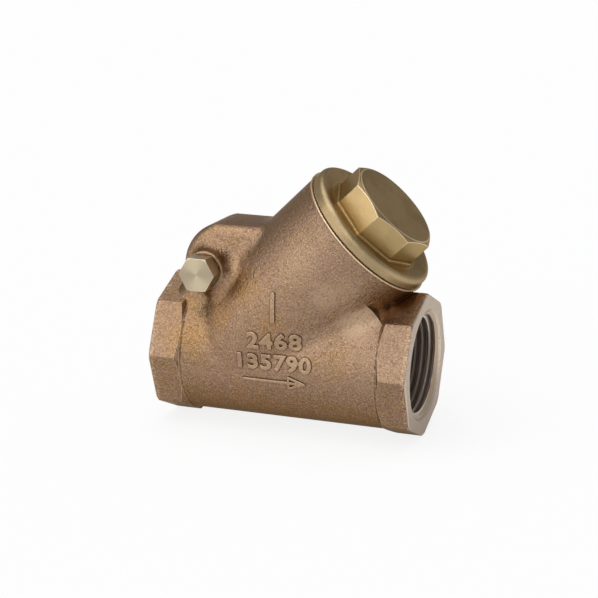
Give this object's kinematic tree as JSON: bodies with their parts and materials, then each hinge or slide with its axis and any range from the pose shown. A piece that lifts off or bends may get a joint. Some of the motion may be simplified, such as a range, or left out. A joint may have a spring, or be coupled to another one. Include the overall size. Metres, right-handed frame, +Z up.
{
  "type": "swing check valve",
  "caption": "Y-pattern bronze swing check valve with eight-sided threaded pipe hubs, a hump for the hinge and a screwed cap over the slanted seat and disc.",
  "frame": {"origin": "centre of the inlet's end face, on the axis of the run", "axes": "+X runs with the flow from the inlet to the outlet, +Z is up when the valve lies in a level line, and the cap leans up towards the outlet"},
  "size_m": [0.0827, 0.0484, 0.0822],
  "materials": {
    "cast_bronze": "sand-cast and grainy, with turned end faces",
    "cap_brass": "cast yellow brass with turned edges",
    "gasket_fibre": "pressed fibre",
    "pin_steel": "turned",
    "plug_brass": "turned pale brass",
    "inner_bronze": "cast and machined bronze",
    "disc_plastic": "smooth white fluoroplastic"
  },
  "bodies": {
    "valve_body": {"body": "cast_bronze", "bonnet_cap": "cap_brass", "cap_gasket": "gasket_fibre", "hinge_pin": "pin_steel", "pin_plug": "plug_brass"},
    "hanger": {"disc_hanger": "inner_bronze"},
    "disc": {"disc_holder": "inner_bronze", "seat_disc": "disc_plastic", "disc_washer": "plug_brass", "disc_nut": "plug_brass", "hanger_washer": "plug_brass", "hanger_nut": "plug_brass"}
  },
  "joints": [
    {"name": "disc_swing", "type": "hinge", "parent": "valve_body", "child": "hanger", "pos_m": [0.017, 0, 0.0276], "axis": [0, -1, 0], "range_deg": [0, 50]},
    {"name": "disc_spin", "type": "hinge", "parent": "hanger", "child": "disc", "pos_m": [0.0227, 0, 0], "axis": [0.7071, 0, 0.7071], "continuous": true}
  ]
}
